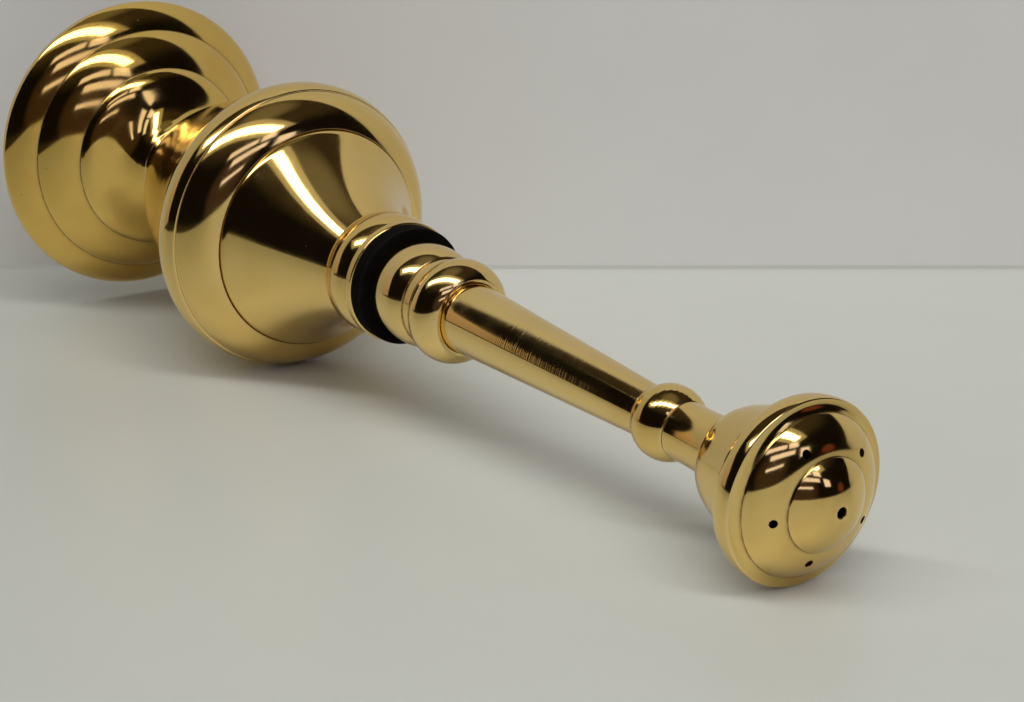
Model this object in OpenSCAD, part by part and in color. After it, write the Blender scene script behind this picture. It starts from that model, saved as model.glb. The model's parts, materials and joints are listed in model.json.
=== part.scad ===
// Holy-water sprinkler in turned and spun brass. A stepped foot and a waisted stem carry a
// double-bowl reservoir. The sprinkler screws into the neck of the reservoir over a rubber
// gasket, and its perforated head screws into the ball at the end of the tapered shaft.
// The part stands upright on its foot, with Z along its axis.

/* [Foot] */
// Radius of the foot at its widest circle
foot_r = 38; // [32:0.5:48]
// Height of the widest circle above the table
foot_rim_z = 3; // [2:0.1:3.5]
// How far the underside of the rim is rounded in
foot_rim_round = 1.4; // [0.8:0.1:2]
// Width of the flat ring that stands on the table
foot_stand_w = 1.6; // [1:0.1:2.6]
// Wall thickness of the foot
foot_wall = 1; // [0.8:0.1:1.4]
// How far the lowest tier stands out past the middle tier
tier1_w = 6.4; // [5:0.1:8]
// Height of the lowest tier
tier1_h = 8.8; // [7.5:0.1:10]
// How far the middle tier stands out past the top tier
tier2_w = 8.4; // [6.5:0.1:9.5]
// Height of the middle tier
tier2_h = 7.4; // [6:0.1:9]
// Height of the top tier
tier3_h = 10.8; // [9:0.1:13]
// Upright edge at the root of the middle and top tiers
tier_riser = 0.3; // [0.2:0.1:0.8]
// Lean of each tier at its outer edge, in degrees from upright
tier_edge_lean = 22; // [15:1:26]
// Lean of the lower tiers at their inner end, in degrees from upright
tier_top_lean = 64; // [62:1:72]
// Length over which the top tier keeps the lean of its outer edge
crown_run = 4.4; // [3:0.1:6]

/* [Stem] */
// Radius of the stem where it stands on the foot
stem_base_r = 10.2; // [9.4:0.1:12]
// Radius of the stem where it carries the bowl
stem_top_r = 9.6; // [8.5:0.1:11]
// Height of the stem
stem_h = 10.5; // [8:0.5:20]
// How far the sides of the stem are drawn in
stem_hollow = 0.9; // [0.4:0.1:1.6]
// Lean of the foot where it runs into the stem, in degrees from upright
stem_base_lean = 17; // [8:1:26]
// Length over which the foot keeps that lean
stem_base_run = 7.6; // [5:0.1:9]

/* [Tie rod] */
// Radius of the rod that clamps the foot, stem and bowl together
rod_r = 2.5; // [2:0.1:3]
// Length of rod that stands out past each nut
rod_end = 1.6; // [1:0.1:3]
// Half of the nut's width across its corners
nut_r = 4.6; // [4:0.1:5.5]
// Thickness of each nut
nut_h = 4; // [3:0.1:5]
// Radius of the washers
washer_r = 7; // [6:0.1:8]
// Flat room round the washer under the foot
washer_room = 1.2; // [0.6:0.1:2]
// Thickness of the brass washer under the foot
foot_washer_h = 1.2; // [0.8:0.1:2]
// Thickness of the rubber washer inside the bowl
bowl_washer_h = 1.5; // [1:0.1:2.5]

/* [Reservoir] */
// Wall thickness of the bowls
bowl_wall = 1.2; // [0.8:0.1:1.8]
// Height of the lower bowl from the stem to the band
lower_bowl_h = 40.2; // [34:0.5:50]
// Radius of the lower bowl where it meets the band
lower_bowl_r = 31.6; // [27:0.1:38]
// Reach of the flat flare at the bottom of the lower bowl
lower_bowl_flare = 11.4; // [8:0.1:14]
// Lean of the lower bowl's wall at the band, in degrees from upright
lower_bowl_lean = 21.4; // [10:0.2:28]
// Length over which the lower bowl's wall keeps that lean
lower_bowl_run = 26.3; // [18:0.1:30]
// How far the lower bowl's lip steps out under the band
bowl_lip_step = 0.2; // [0.1:0.05:0.5]
// Depth of the lower bowl's lip inside the band
bowl_lip_h = 5; // [3.5:0.1:6]
// Height of the crease between the lower bowl and the band
band_crease_h = 0.3; // [0.2:0.1:0.8]
// Height of the band
band_h = 10; // [8:0.5:14]
// Wall thickness of the band at its lower edge
band_wall = 0.5; // [0.4:0.05:1]
// How far the band widens from its lower edge to its upper edge
band_flare = 1.4; // [0.8:0.1:2]
// How far the middle of the band swells past its edges
band_bulge = 1.4; // [0.6:0.1:1.8]
// How far the shoulder stands in from the band's edge
shoulder_inset = 0.3; // [0.1:0.05:0.5]
// How far the shoulder narrows
shoulder_w = 7.2; // [5:0.1:10]
// Height of the shoulder
shoulder_h = 7.9; // [6:0.1:11]
// How far the shoulder swells out from a straight cone
shoulder_bulge = 1.4; // [0.6:0.1:2]
// Width of the crease at the step above the shoulder
step_crease = 0.25; // [0.2:0.05:0.6]
// Height of the cone above the step
cone_h = 25.6; // [22:0.2:34]
// Height of the rounded root of the cone
cone_root_h = 1.6; // [1.2:0.1:2.4]
// How far the cone narrows over its rounded root
cone_root_w = 0.7; // [0.5:0.05:0.8]
// Lean of the cone's root at the step, in degrees from upright
cone_root_lean = 4; // [0:1:10]
// Lean of the cone above its root, in degrees from upright
cone_base_lean = 42; // [36:1:48]
// Length over which the cone keeps that lean
cone_base_run = 8.3; // [6:0.1:10]
// Lean of the cone below the collar, in degrees from upright
cone_top_lean = 17; // [10:1:24]
// Length over which the cone keeps that lean
cone_top_run = 11.4; // [8:0.1:13]

/* [Neck] */
// Radial room between the neck nipple and the cone's tail
throat_room = 0.8; // [0.4:0.1:1.2]
// Depth of the ledge at the root of the cone's tail
throat_ledge = 3; // [2:0.1:5]
// Length of the cone's tail inside the collar
cone_tail_h = 3.8; // [3:0.1:4.5]
// Height of the neck collar
collar_h = 11.5; // [10:0.1:14]
// Wall of the collar round the cone's tail
collar_wall = 2; // [1.5:0.1:2.8]
// How far the collar stands out past the cone
collar_ledge = 0.8; // [0.4:0.1:1.2]
// How far the collar's lower bead swells
collar_bulge = 0.9; // [0.4:0.1:1.4]
// How far the collar's upper ring stands out past the edge of the bead
collar_ring_out = 0.6; // [0.2:0.1:1.2]
// Height of the collar's upper ring
collar_ring_h = 2.2; // [1.5:0.1:3]
// Depth of the crease between the collar's bead and ring
collar_crease = 0.4; // [0.2:0.1:0.7]
// How far the gasket stands in from the collar's ring
gasket_inset = 0.4; // [0.2:0.1:1]
// Thickness of the gasket
gasket_h = 3.5; // [2:0.1:4.5]

/* [Sprinkler handle] */
// Radius of the neck nipple's thread
neck_nipple_r = 9.2; // [8:0.1:11]
// Wall of the neck nipple
neck_nipple_wall = 2.6; // [1.6:0.1:3]
// Length of the neck nipple inside the collar
neck_nipple_reach = 8.5; // [7:0.1:10]
// Length of the neck nipple inside the ferrule
neck_nipple_grip = 8; // [6:0.1:9.5]
// Wall of the ferrule round the neck nipple
ferrule_wall = 2; // [1.2:0.05:2.6]
// Length of the ferrule's bead
bead_h = 12; // [10.5:0.1:16]
// Lean of the bead where it stands on the gasket, in degrees from upright
bead_low_lean = 1; // [0:1:6]
// Length over which the bead keeps that lean
bead_low_run = 6.5; // [4:0.1:8]
// Lean of the bead at the groove, in degrees from upright
bead_top_lean = 26; // [15:1:40]
// Length over which the bead keeps that lean
bead_top_run = 4; // [2:0.1:5]
// How far the bead stands out past the groove above it
bead_step = 0.3; // [0.2:0.1:1.4]
// Wall of the ferrule at the groove, round the shaft
groove_wall = 2.1; // [1.6:0.1:3]
// Length of the groove between the bead and the knop
groove_h = 3; // [1.5:0.1:3.5]
// How far the knop's lower edge stands out past the groove
knop_step = 0.5; // [0.1:0.1:0.8]
// Wall of the knop at its upper edge, round the shaft
knop_lip = 0.8; // [0.5:0.1:1.6]
// Length of the knop
knop_h = 9; // [7:0.1:12]
// How far the knop swells
knop_bulge = 2; // [1:0.1:2.6]
// Radius of the shaft where it leaves the ferrule
shaft_low_r = 7.85; // [7:0.05:8.6]
// Radius of the shaft where it meets the ball
shaft_top_r = 5.35; // [4.8:0.05:6]
// Wall of the shaft
shaft_wall = 1.45; // [1:0.05:1.8]
// Length of the shaft that shows
shaft_h = 63.1; // [45:0.5:90]
// Length of the shaft inside the ferrule
shaft_grip = 9.5; // [7:0.1:11]
// Shoulder where the shaft's tail enters the ball
shaft_tail_step = 0.55; // [0.3:0.05:0.8]
// Length of the shaft's tail inside the ball
shaft_tail_h = 3; // [2:0.1:3.6]
// Radius of the ball
ball_r = 7.7; // [7:0.1:9]
// How far the ball's lower face stands out past the shaft
ball_lip = 0.15; // [0.05:0.05:0.4]
// Ledge inside the ball that stops the shaft's tail
ball_stop = 0.5; // [0.2:0.1:0.8]
// Thickness of the shelf between the shaft's tail and the head nipple
ball_shelf = 1.5; // [0.8:0.1:2.2]

/* [Head] */
// Radius of the head nipple's thread
head_nipple_r = 4.4; // [4:0.1:4.8]
// Wall of the head nipple
head_nipple_wall = 1.2; // [0.8:0.1:1.4]
// Length of the head nipple inside the head
head_nipple_grip = 6.2; // [4:0.1:7.5]
// Width of the head seal
head_seal_w = 0.7; // [0.5:0.05:1]
// Thickness of the head seal
head_seal_h = 1.4; // [1:0.1:1.8]
// Gap left between the ball and the head by the seal
seam_gap = 0.15; // [0.1:0.05:0.4]
// Wall of the ball round the seal
ball_rim_w = 0.6; // [0.4:0.05:1]
// How far the head's neck widens from the ball to the bell
neck_flare = 0.85; // [0.4:0.05:1.2]
// Length of the head's neck
neck_h = 13.4; // [11:0.1:17]
// How far the sides of the neck are drawn in
neck_hollow = 0.35; // [0.2:0.05:0.5]
// Radius of the bell at its wide end
bell_r = 15; // [13.5:0.1:17]
// Length of the bell
bell_h = 15; // [13:0.1:19]
// Lean of the bell's shoulder where it leaves the neck, in degrees from upright
bell_root_lean = 86; // [78:1:88]
// Length over which the bell's shoulder keeps that lean
bell_root_run = 4.7; // [3.6:0.1:5.5]
// Lean of the bell at its wide end, in degrees from upright
bell_end_lean = 21; // [14:1:26]
// Length over which the bell keeps that lean
bell_end_run = 9.5; // [7:0.1:11]
// Wall thickness of the bell and the rose
head_wall = 0.8; // [0.6:0.1:1.2]
// How far the bell's flange stands out inside the rose
flange_w = 1.8; // [1.4:0.1:2.6]
// Thickness of the bell's flange
flange_h = 1.3; // [1.2:0.1:2]
// Rise of the back of the flange from the bell to its edge
flange_rise = 0.9; // [0.5:0.1:1.6]
// Wall of the rose's rim round the flange
rim_wall = 0.65; // [0.4:0.05:1.2]
// How far the rim widens from its back edge to its front edge
rim_flare = 0.7; // [0.2:0.1:1.2]
// Height of the rose's rim
rim_h = 4.9; // [3.8:0.1:6]
// How far the rim swells past its edges
rim_bulge = 0.4; // [0.2:0.1:1.4]
// How far the rim's back edge stands behind the front of the flange
rim_lap = 1.2; // [0.8:0.1:1.2]
// Width of the rim's face
face_w = 2.4; // [1.5:0.05:3.5]
// Rise of the rim's face from the front edge to the dome
face_rise = 0.8; // [0.3:0.1:1.2]
// How far the rim's face is hollowed
face_hollow = 0.15; // [0.1:0.05:0.4]
// Upright edge at the root of the dome and of the boss
rose_riser = 0.4; // [0.2:0.1:0.8]
// Width of the dome between the rim's face and the boss
dome_w = 6.65; // [5:0.05:8]
// Height of the dome
dome_h = 4.5; // [3:0.1:6]
// How far the dome swells out from a straight cone
dome_bulge = 0.8; // [0.3:0.1:1.2]
// Height of the boss at the middle of the dome
boss_h = 3.9; // [2.5:0.1:5]
// Number of holes in the dome
rose_hole_count = 5; // [3:1:10]
// Radius of each hole in the dome
rose_hole_r = 0.75; // [0.4:0.05:1.2]
// Radius of the hole in the boss
boss_hole_r = 1.1; // [0.5:0.05:1.8]
// Turn of the first hole about the axis, in degrees
rose_hole_turn = 8.4; // [0:0.1:72]
// How far the ring of holes stands out from the boss
rose_hole_out = 2.1; // [1.6:0.1:4]

/* [Fits] */
// Radial room in soldered and clamped joints
fit_gap = 0.05; // [0.02:0.01:0.1]
// Radial room in the screwed joints
screw_gap = 0.1; // [0.05:0.01:0.15]
// Radial room round the nipples inside the seals
seal_gap = 0.2; // [0.1:0.05:0.4]

/* [Hidden] */
$fn = 96;
brass = "#c9a24a";
worn_brass = "#b08d3f";
rubber = "#1c1c1c";
// Steps along each curve of a profile
steps = 14;
hex_sides = 6;
// Overshoot of a drill past the surfaces that it cuts
drill_over = 3;

// Radii of the foot and the reservoir
tier2_r = foot_r - tier1_w;
tier3_r = tier2_r - tier2_w;
foot_rim_in_r = foot_r - foot_rim_round - foot_stand_w;
rod_hole_r = rod_r + screw_gap;
bowl_lip_r = lower_bowl_r + bowl_lip_step;
bowl_skin_r = bowl_lip_r - bowl_wall;
band_bore_r = bowl_lip_r + fit_gap;
band_edge_r = band_bore_r + band_wall;
band_top_r = band_edge_r + band_flare;
shoulder_r = band_top_r - shoulder_inset;
step_r = shoulder_r - shoulder_w;
cone_base_r = step_r - step_crease;

// Radii of the neck, from the nipple outwards
neck_thread_r = neck_nipple_r + screw_gap;
neck_socket_r = neck_nipple_r + fit_gap;
neck_nipple_bore_r = neck_nipple_r - neck_nipple_wall;
cone_throat_r = neck_nipple_r + throat_room;
cone_tail_r = cone_throat_r + bowl_wall;
collar_seat_r = cone_tail_r + fit_gap;
collar_edge_r = cone_tail_r + collar_wall;
cone_top_r = collar_edge_r - collar_ledge;
collar_ring_r = collar_edge_r + collar_ring_out;
gasket_r = collar_ring_r - gasket_inset;

// Radii of the sprinkler's handle
shaft_socket_r = shaft_low_r + fit_gap;
shaft_low_bore_r = shaft_low_r - shaft_wall;
shaft_top_bore_r = shaft_top_r - shaft_wall;
shaft_tail_r = shaft_top_r - shaft_tail_step;
shaft_tail_socket_r = shaft_tail_r + fit_gap;
bead_low_r = neck_socket_r + ferrule_wall;
groove_r = shaft_socket_r + groove_wall;
bead_top_r = groove_r + bead_step;
knop_low_r = groove_r + knop_step;
knop_top_r = shaft_socket_r + knop_lip;
ball_bore_r = shaft_top_bore_r - ball_stop;
ball_low_r = shaft_top_r + ball_lip;

// Radii of the head, from its nipple outwards
head_thread_r = head_nipple_r + screw_gap;
head_socket_r = head_nipple_r + fit_gap;
head_nipple_bore_r = head_nipple_r - head_nipple_wall;
head_seal_in_r = head_nipple_r + seal_gap;
head_seal_r = head_seal_in_r + head_seal_w;
seal_seat_r = head_seal_r + fit_gap;
ball_face_r = seal_seat_r + ball_rim_w;
neck_top_r = ball_face_r + neck_flare;
chamber_r = bell_r - head_wall;
flange_r = bell_r + flange_w;
flange_seat_r = flange_r + fit_gap;
rim_back_r = flange_seat_r + rim_wall;
rim_front_r = rim_back_r + rim_flare;
dome_r = rim_front_r - face_w;
boss_r = dome_r - dome_w;

// Heights of the stack, from the table upwards
tier2_z = tier1_h;
tier3_z = tier2_z + tier2_h;
stem_z = tier3_z + tier3_h;
foot_roof_z = stem_z - foot_wall;
foot_washer_z = foot_roof_z - foot_washer_h;
foot_nut_z = foot_washer_z - nut_h;
bowl_z = stem_z + stem_h;
bowl_floor_z = bowl_z + bowl_wall;
bowl_nut_z = bowl_floor_z + bowl_washer_h;
band_z = bowl_z + lower_bowl_h + band_crease_h;
bowl_joint_z = band_z + bowl_lip_h;
shoulder_z = band_z + band_h;
step_z = shoulder_z + shoulder_h;
collar_z = step_z + cone_h;
cone_tail_z = collar_z + cone_tail_h;
gasket_z = collar_z + collar_h;
ferrule_z = gasket_z + gasket_h;
bead_top_z = ferrule_z + bead_h;
knop_z = bead_top_z + groove_h;
shaft_z = knop_z + knop_h;
shaft_foot_z = shaft_z - shaft_grip;
shaft_top_z = shaft_z + shaft_h;
shaft_tail_z = shaft_top_z + shaft_tail_h;
head_nipple_z = shaft_tail_z + ball_shelf;
ball_z = shaft_top_z + sqrt(pow(ball_r, 2) - pow(ball_low_r, 2));
ball_face_z = ball_z + sqrt(pow(ball_r, 2) - pow(ball_face_r, 2));
head_z = ball_face_z + seam_gap;
head_seal_z = head_z - head_seal_h;
neck_top_z = head_z + neck_h;
flange_z = neck_top_z + bell_h;
flange_edge_z = flange_z + flange_rise;
flange_top_z = flange_edge_z + flange_h;
rim_z = flange_top_z - rim_lap;
face_z = rim_z + rim_h;
dome_z = face_z + face_rise + rose_riser;
dome_top_z = dome_z + dome_h;
boss_z = dome_top_z + rose_riser;

// A point of the profile: radius first, then height
function polar(centre, a, b, angle) = centre + [a * cos(angle), b * sin(angle)];

// Part of an ellipse round a centre, between two angles
function ellipse_arc(centre, a, b, from, to) =
    [for (i = [0 : steps]) polar(centre, a, b, from + (to - from) * i / steps)];

// Circular arc from p to q that swells to the right of its chord, or hollows if negative
function swell(p, q, bulge) =
    let (chord = norm(q - p),
         along = (q - p) / chord,
         side = [along.y, -along.x],
         radius = (chord * chord / 4 + bulge * bulge) / (2 * bulge),
         centre = (p + q) / 2 + side * (bulge - radius),
         half = asin(chord / 2 / abs(radius)),
         mid = bulge > 0 ? side : -side)
    [for (i = [0 : steps])
        let (turn = half * (2 * i / steps - 1))
        centre + abs(radius) * (mid * cos(turn) + along * sin(turn))];

// Cubic curve from p to s, shaped by the handles q and r
function cubic(p, q, r, s) =
    [for (i = [0 : steps])
        let (t = i / steps, u = 1 - t)
        p * pow(u, 3) + 3 * q * u * u * t + 3 * r * u * t * t + s * pow(t, 3)];

// Handle of a given length that leans from upright by an angle
function lean(angle, length) = length * [sin(angle), cos(angle)];

// Round cap of a given height, from its edge up to the axis
function cap(edge_r, low_z, height) =
    let (radius = (edge_r * edge_r + height * height) / (2 * height))
    ellipse_arc([0, low_z + height - radius], radius, radius, asin(1 - height / radius), 90);

// Curve from p to q that leans inwards from upright, by one angle at p and another at q
function bend(p, q, from, to) =
    let (first = lean(-from, 1),
         last = lean(-to, 1),
         knee = p + first * cross(q - p, last) / cross(first, last))
    [for (i = [0 : steps])
        let (t = i / steps, u = 1 - t)
        p * u * u + 2 * knee * u * t + q * t * t];

// Rounded side of one of the lower tiers, from its outer edge up to its inner end
function tier(outer_r, inner_r, low_z, top_z) =
    bend([outer_r, low_z], [inner_r, top_z], tier_edge_lean, tier_top_lean);

// The same curve moved to its left by the wall thickness
function inside(curve, wall) =
    let (last = len(curve) - 1)
    [for (i = [0 : last])
        let (along = curve[min(i + 1, last)] - curve[max(i - 1, 0)])
        curve[i] + wall * [-along.y, along.x] / norm(along)];

// One curve after another that starts at its end
function joined(curve, next) = concat(curve, [for (i = [1 : len(next) - 1]) next[i]]);

function backwards(curve) = [for (i = [len(curve) - 1 : -1 : 0]) curve[i]];

module turned(profile) {
    rotate_extrude() polygon(profile);
}

module ring(inner_r, outer_r, low_z, height) {
    translate([0, 0, low_z]) difference() {
        cylinder(r = outer_r, h = height);
        translate([0, 0, -drill_over]) cylinder(r = inner_r, h = height + 2 * drill_over);
    }
}

module hex_nut(low_z) {
    translate([0, 0, low_z]) difference() {
        cylinder(r = nut_r, h = nut_h, $fn = hex_sides);
        translate([0, 0, -drill_over])
            cylinder(r = rod_r + fit_gap, h = nut_h + 2 * drill_over);
    }
}

module foot() {
    tier1 = tier(foot_r, tier2_r, foot_rim_z, tier2_z);
    tier2 = tier(tier2_r, tier3_r, tier2_z + tier_riser, tier3_z);
    crown_edge = [tier3_r, tier3_z + tier_riser];
    crown_top = [stem_base_r, stem_z];
    crown = cubic(crown_edge, crown_edge + lean(-tier_edge_lean, crown_run),
                  crown_top - lean(-stem_base_lean, stem_base_run), crown_top);
    roof_r = washer_r + washer_room;
    inner = concat(
        [[foot_rim_in_r, 0]],
        [for (point = inside(tier1, foot_wall)) if (point.x < foot_rim_in_r) point],
        inside(tier2, foot_wall),
        [for (point = inside(crown, foot_wall)) if (point.x > roof_r && point.y < foot_roof_z) point],
        [[roof_r, foot_roof_z]]);
    color(brass) turned(concat(
        ellipse_arc([foot_r - foot_rim_round, foot_rim_z], foot_rim_round, foot_rim_z, -90, 0),
        tier1,
        tier2,
        crown,
        [[rod_hole_r, stem_z], [rod_hole_r, foot_roof_z]],
        backwards(inner)));
}

module foot_washer() {
    color(worn_brass) ring(rod_hole_r, washer_r, foot_washer_z, foot_washer_h);
}

module foot_nut() {
    color(worn_brass) hex_nut(foot_nut_z);
}

module tie_rod() {
    low_z = foot_nut_z - rod_end;
    color(worn_brass) translate([0, 0, low_z])
        cylinder(r = rod_r, h = bowl_nut_z + nut_h + rod_end - low_z);
}

module stem() {
    color(brass) turned(concat(
        [[rod_hole_r, stem_z]],
        swell([stem_base_r, stem_z], [stem_top_r, bowl_z], -stem_hollow),
        [[rod_hole_r, bowl_z]]));
}

module lower_bowl() {
    rim = [lower_bowl_r, bowl_z + lower_bowl_h];
    outer = cubic([stem_top_r, bowl_z], [stem_top_r + lower_bowl_flare, bowl_z],
                  rim - lean(lower_bowl_lean, lower_bowl_run), rim);
    lip_low_z = band_z + bowl_wall;
    color(brass) turned(concat(
        [[rod_hole_r, bowl_z]],
        outer,
        [[bowl_lip_r, lip_low_z], [bowl_lip_r, bowl_joint_z], [bowl_skin_r, bowl_joint_z],
         [bowl_skin_r, lip_low_z + band_crease_h]],
        backwards(inside(outer, bowl_wall)),
        [[rod_hole_r, bowl_floor_z]]));
}

module bowl_washer() {
    color(rubber) ring(rod_hole_r, washer_r, bowl_floor_z, bowl_washer_h);
}

module bowl_nut() {
    color(worn_brass) hex_nut(bowl_nut_z);
}

module equator_band() {
    color(brass) turned(concat(
        [[band_bore_r, band_z]],
        swell([band_edge_r, band_z], [band_top_r, shoulder_z], band_bulge),
        [[band_bore_r, shoulder_z]]));
}

module upper_bowl() {
    shoulder = swell([shoulder_r, shoulder_z], [step_r, step_z], shoulder_bulge);
    shoulder_inside = swell([bowl_skin_r, shoulder_z],
                            [step_r - bowl_wall, step_z - bowl_wall], shoulder_bulge);
    cone_base = [cone_base_r - cone_root_w, step_z + cone_root_h];
    cone_top = [cone_top_r, collar_z];
    cone = joined(
        bend([cone_base_r, step_z], cone_base, cone_root_lean, cone_base_lean),
        cubic(cone_base, cone_base + lean(-cone_base_lean, cone_base_run),
              cone_top - lean(-cone_top_lean, cone_top_run), cone_top));
    ledge_z = collar_z - throat_ledge;
    cone_inside = [for (point = inside(cone, bowl_wall)) if (point.y < ledge_z) point];
    color(brass) turned(concat(
        [[bowl_lip_r, bowl_joint_z], [bowl_lip_r, shoulder_z]],
        shoulder,
        [[step_r - step_crease / 2, step_z - step_crease]],
        cone,
        [[cone_tail_r, collar_z], [cone_tail_r, cone_tail_z], [cone_throat_r, cone_tail_z],
         [cone_throat_r, ledge_z]],
        backwards(cone_inside),
        backwards(shoulder_inside),
        [[bowl_skin_r, bowl_joint_z]]));
}

module neck_collar() {
    ring_z = gasket_z - collar_ring_h;
    seat_z = cone_tail_z + fit_gap;
    color(brass) turned(concat(
        [[collar_seat_r, collar_z]],
        swell([collar_edge_r, collar_z], [collar_edge_r, ring_z], collar_bulge),
        [[collar_edge_r - collar_crease, ring_z]],
        ellipse_arc([collar_ring_r - collar_crease, ring_z + collar_crease],
                    collar_crease, collar_crease, -90, 0),
        ellipse_arc([collar_ring_r - collar_crease, gasket_z - collar_crease],
                    collar_crease, collar_crease, 0, 90),
        [[neck_thread_r, gasket_z], [neck_thread_r, seat_z], [collar_seat_r, seat_z]]));
}

module neck_gasket() {
    color(rubber) ring(neck_nipple_r + seal_gap, gasket_r, gasket_z, gasket_h);
}

module neck_nipple() {
    color(worn_brass) ring(neck_nipple_bore_r, neck_nipple_r, gasket_z - neck_nipple_reach,
                           neck_nipple_reach + gasket_h + neck_nipple_grip);
}

module ferrule() {
    socket_z = ferrule_z + neck_nipple_grip + fit_gap;
    shaft_seat_z = shaft_foot_z - fit_gap;
    bead_low = [bead_low_r, ferrule_z];
    bead_top = [bead_top_r, bead_top_z];
    color(brass) turned(concat(
        [[neck_socket_r, ferrule_z]],
        cubic(bead_low, bead_low + lean(bead_low_lean, bead_low_run),
              bead_top - lean(-bead_top_lean, bead_top_run), bead_top),
        [[groove_r, bead_top_z], [groove_r, knop_z]],
        swell([knop_low_r, knop_z], [knop_top_r, shaft_z], knop_bulge),
        [[shaft_socket_r, shaft_z], [shaft_socket_r, shaft_seat_z],
         [shaft_low_bore_r, shaft_seat_z], [shaft_low_bore_r, socket_z],
         [neck_socket_r, socket_z]]));
}

module shaft_tube() {
    color(brass) turned([
        [shaft_low_bore_r, shaft_foot_z], [shaft_low_r, shaft_foot_z], [shaft_low_r, shaft_z],
        [shaft_top_r, shaft_top_z], [shaft_tail_r, shaft_top_z], [shaft_tail_r, shaft_tail_z],
        [shaft_top_bore_r, shaft_tail_z], [shaft_top_bore_r, shaft_top_z],
        [shaft_low_bore_r, shaft_z]]);
}

module ball_socket() {
    tail_seat_z = shaft_tail_z + fit_gap;
    nipple_seat_z = head_nipple_z - fit_gap;
    low_angle = -acos(ball_low_r / ball_r);
    top_angle = acos(ball_face_r / ball_r);
    color(brass) turned(concat(
        [[shaft_tail_socket_r, shaft_top_z]],
        ellipse_arc([0, ball_z], ball_r, ball_r, low_angle, top_angle),
        [[seal_seat_r, ball_face_z], [seal_seat_r, head_seal_z], [head_thread_r, head_seal_z],
         [head_thread_r, nipple_seat_z], [ball_bore_r, nipple_seat_z], [ball_bore_r, tail_seat_z],
         [shaft_tail_socket_r, tail_seat_z]]));
}

module head_seal() {
    color(rubber) ring(head_seal_in_r, head_seal_r, head_seal_z, head_seal_h);
}

module head_nipple() {
    color(worn_brass) ring(head_nipple_bore_r, head_nipple_r, head_nipple_z,
                           head_z + head_nipple_grip - head_nipple_z);
}

module head_cup() {
    bell_root = [neck_top_r, neck_top_z];
    bell_end = [bell_r, flange_z];
    bell = cubic(bell_root, bell_root + lean(bell_root_lean, bell_root_run),
                 bell_end - lean(bell_end_lean, bell_end_run), bell_end);
    color(brass) turned(concat(
        [[head_socket_r, head_z]],
        swell([ball_face_r, head_z], bell_root, -neck_hollow),
        bell,
        [[flange_r, flange_edge_z], [flange_r, flange_top_z], [chamber_r, flange_top_z]],
        backwards(inside(bell, head_wall)),
        [[head_socket_r, neck_top_z + head_wall]]));
}

module rose_hole(angle) {
    dome_tilt = atan2(dome_h, dome_w);
    hole_z = dome_top_z - rose_hole_out * dome_h / dome_w;
    rotate([0, 0, angle]) translate([boss_r + rose_hole_out, 0, hole_z])
        rotate([0, dome_tilt, 0])
            cylinder(r = rose_hole_r, h = 2 * drill_over, center = true);
}

module rose_cap() {
    dome_edge = [dome_r, dome_z];
    boss_root = [boss_r, dome_top_z];
    wall = [head_wall, head_wall];
    color(brass) difference() {
        turned(concat(
            [[flange_seat_r, rim_z]],
            swell([rim_back_r, rim_z], [rim_front_r, face_z], rim_bulge),
            swell([rim_front_r, face_z], [dome_r, face_z + face_rise], -face_hollow),
            swell(dome_edge, boss_root, dome_bulge),
            cap(boss_r, boss_z, boss_h),
            backwards(cap(boss_r - head_wall, boss_z - head_wall, boss_h)),
            swell(boss_root - wall, dome_edge - wall, -dome_bulge),
            [[chamber_r, dome_z - head_wall], [chamber_r, flange_top_z],
             [flange_seat_r, flange_top_z]]));
        for (i = [0 : rose_hole_count - 1]) rose_hole(rose_hole_turn + 360 * i / rose_hole_count);
        translate([0, 0, boss_z]) cylinder(r = boss_hole_r, h = boss_h + drill_over);
    }
}

foot();
foot_washer();
foot_nut();
tie_rod();
stem();
lower_bowl();
bowl_washer();
bowl_nut();
equator_band();
upper_bowl();
neck_collar();
neck_gasket();
neck_nipple();
ferrule();
shaft_tube();
ball_socket();
head_seal();
head_nipple();
head_cup();
rose_cap();
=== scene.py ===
import json
import math

import bmesh
import bpy
import numpy as np
from mathutils import Matrix, Vector


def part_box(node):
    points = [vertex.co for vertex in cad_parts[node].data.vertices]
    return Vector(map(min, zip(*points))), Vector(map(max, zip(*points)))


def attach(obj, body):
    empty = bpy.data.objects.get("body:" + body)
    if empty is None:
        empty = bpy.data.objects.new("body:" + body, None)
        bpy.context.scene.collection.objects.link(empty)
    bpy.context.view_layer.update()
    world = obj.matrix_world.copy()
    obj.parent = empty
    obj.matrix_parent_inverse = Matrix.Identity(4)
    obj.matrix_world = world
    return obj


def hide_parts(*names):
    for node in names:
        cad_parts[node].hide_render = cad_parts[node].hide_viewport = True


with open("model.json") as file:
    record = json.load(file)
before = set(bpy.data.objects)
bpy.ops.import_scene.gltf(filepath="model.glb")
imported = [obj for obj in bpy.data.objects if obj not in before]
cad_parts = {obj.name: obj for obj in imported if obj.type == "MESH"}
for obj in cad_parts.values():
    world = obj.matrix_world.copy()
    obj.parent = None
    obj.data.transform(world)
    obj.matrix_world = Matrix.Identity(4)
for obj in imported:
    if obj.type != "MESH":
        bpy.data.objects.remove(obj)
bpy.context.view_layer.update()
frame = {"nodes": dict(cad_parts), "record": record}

MM = 0.001
MICRON = 0.001 * MM
FULL_TURN = 2 * math.pi
TINY = 1e-9                     # keeps a division by a length away from zero

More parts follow.
